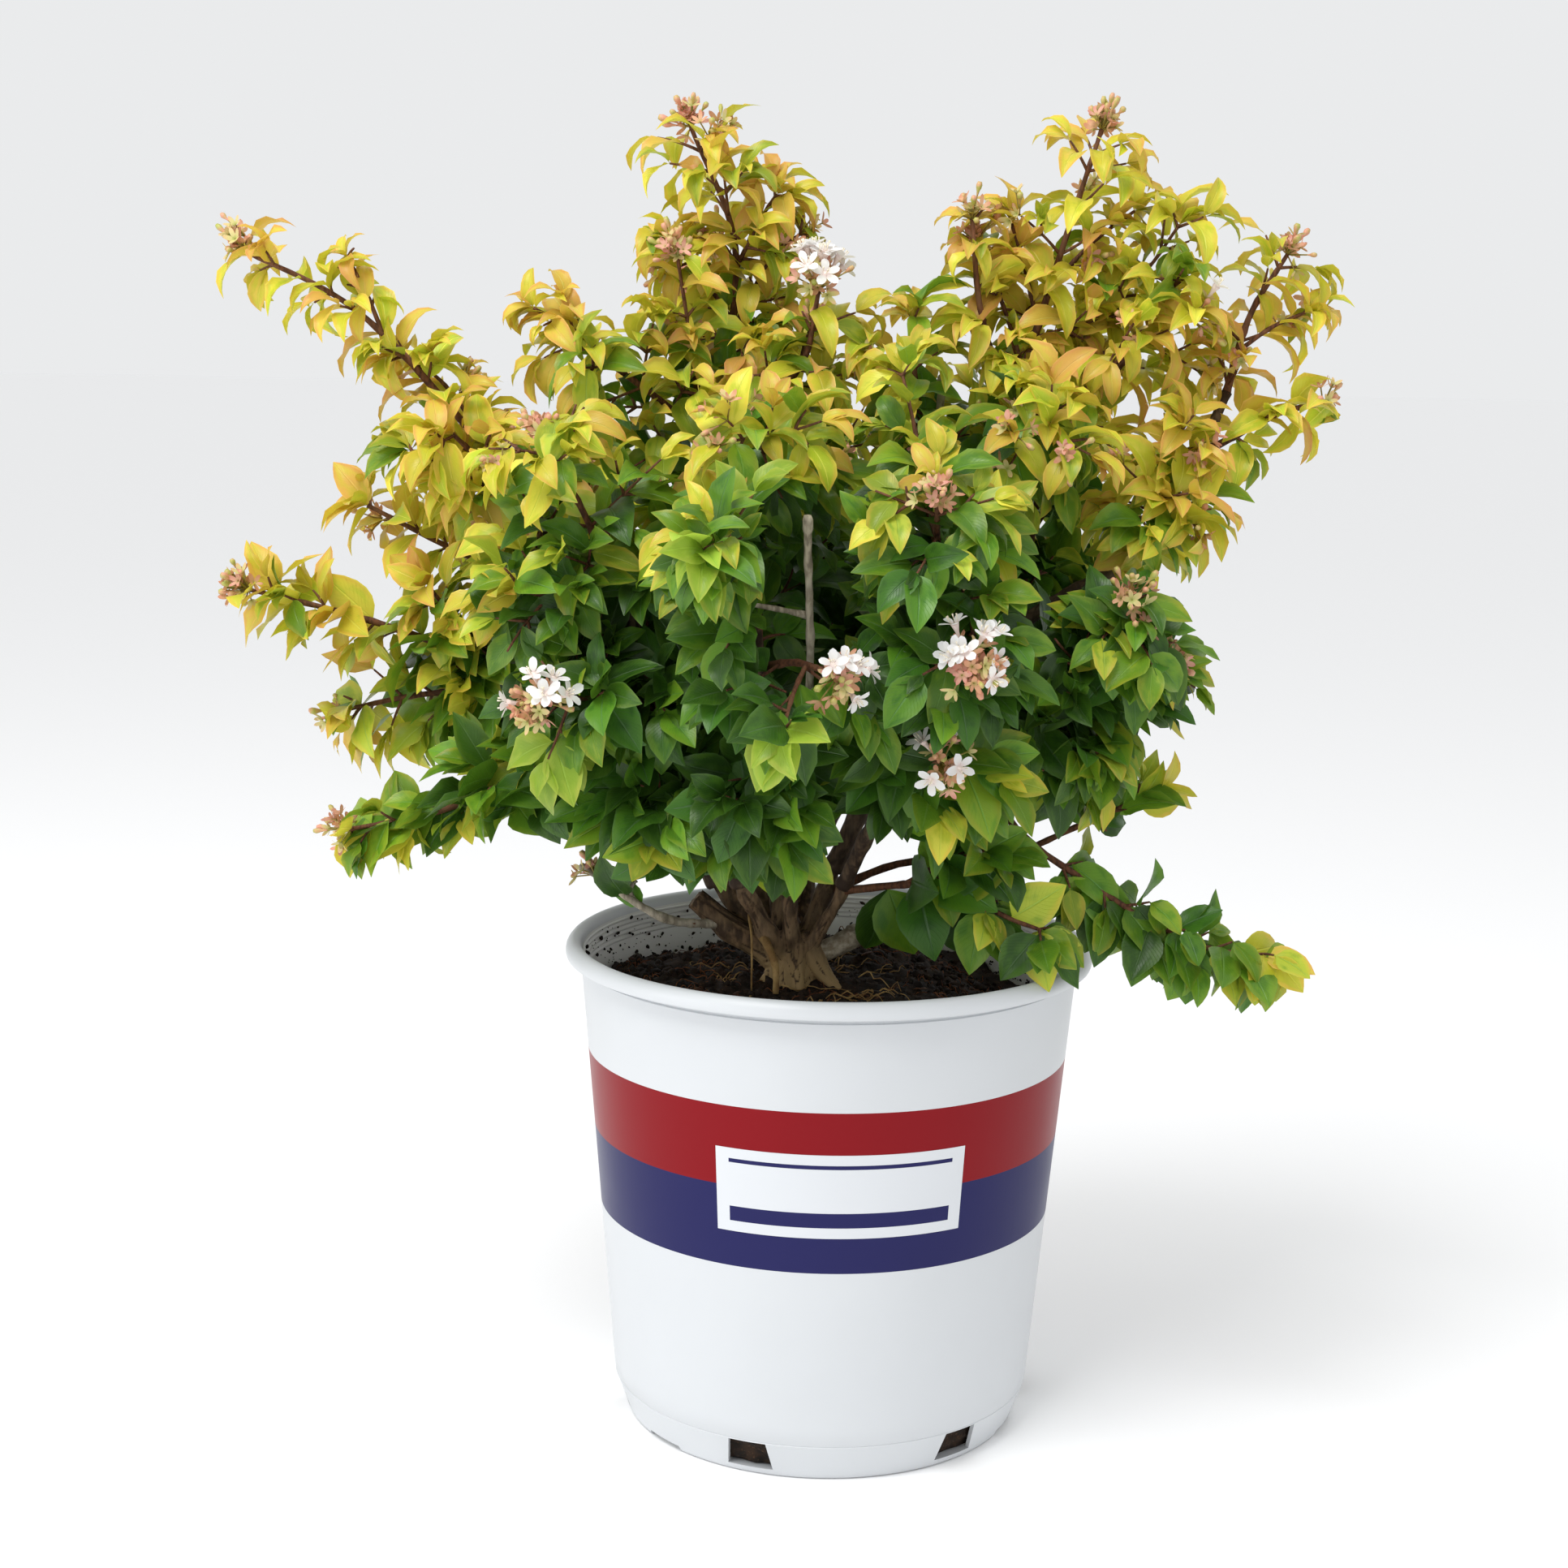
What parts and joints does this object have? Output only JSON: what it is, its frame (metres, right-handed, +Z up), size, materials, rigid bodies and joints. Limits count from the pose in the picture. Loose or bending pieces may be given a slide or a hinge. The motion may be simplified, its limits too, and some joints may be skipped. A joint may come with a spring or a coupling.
{
  "type": "glossy abelia in a nursery pot",
  "caption": "Bushy glossy abelia in flower in a white nursery pot with red and blue bands: gold tips over deep green, gnarled woody foot, arching and trailing shoots.",
  "frame": {"origin": "centre of the pot's flat underside", "axes": "+Z up, +X to the right of someone who looks at the printed plate, -Y towards that person"},
  "size_m": [0.5953, 0.4249, 0.711],
  "materials": {
    "pot_plastic": "satin",
    "potting_mix": "matte",
    "bark": "matte",
    "foliage": "satin"
  },
  "bodies": {
    "root": {"pot": "pot_plastic", "potting_mix": "potting_mix", "woody_crown": "bark", "cane_left_high": "bark", "cane_left_mid": "bark", "cane_front_left": "bark", "cane_spire": "bark", "cane_front": "bark", "cane_right_spire": "bark", "cane_right_arm": "bark", "cane_front_right": "bark", "cane_back": "bark", "bough_left_low": "bark", "bough_right_mid": "bark", "bough_back_left": "bark", "bough_back_right": "bark", "cut_cane": "bark", "foliage_left_high": "foliage", "foliage_left_shoulder": "foliage", "foliage_left_sprig": "foliage", "foliage_left_mid": "foliage", "foliage_left_gold": "foliage", "foliage_left_low": "foliage", "foliage_left_skirt": "foliage", "foliage_front_left_top": "foliage", "foliage_front_left_mid": "foliage", "foliage_front_left_bloom": "foliage", "foliage_front_left_low": "foliage", "foliage_left_spire": "foliage", "foliage_left_top": "foliage", "foliage_top_bloom": "foliage", "foliage_top_small": "foliage", "foliage_top_front": "foliage", "foliage_front_top": "foliage", "foliage_front_mid": "foliage", "foliage_front_low": "foliage", "foliage_front_right_top": "foliage", "foliage_front_right_bloom": "foliage", "foliage_front_right_low": "foliage", "foliage_right_spire": "foliage", "foliage_right_inner": "foliage", "foliage_right_front": "foliage", "foliage_right_crest": "foliage", "foliage_right_high": "foliage", "foliage_right_twig": "foliage", "foliage_right_shoulder": "foliage", "foliage_right_mid": "foliage", "foliage_right_low": "foliage", "foliage_right_skirt": "foliage", "foliage_right_bare": "foliage", "foliage_trailing": "foliage", "foliage_over_rim": "foliage", "foliage_low_sprig": "foliage", "foliage_back_top": "foliage", "foliage_back_mid": "foliage", "foliage_back_low": "foliage", "foliage_back_left_top": "foliage", "foliage_back_left_mid": "foliage", "foliage_back_right_top": "foliage", "foliage_back_right_mid": "foliage"}
  },
  "joints": []
}
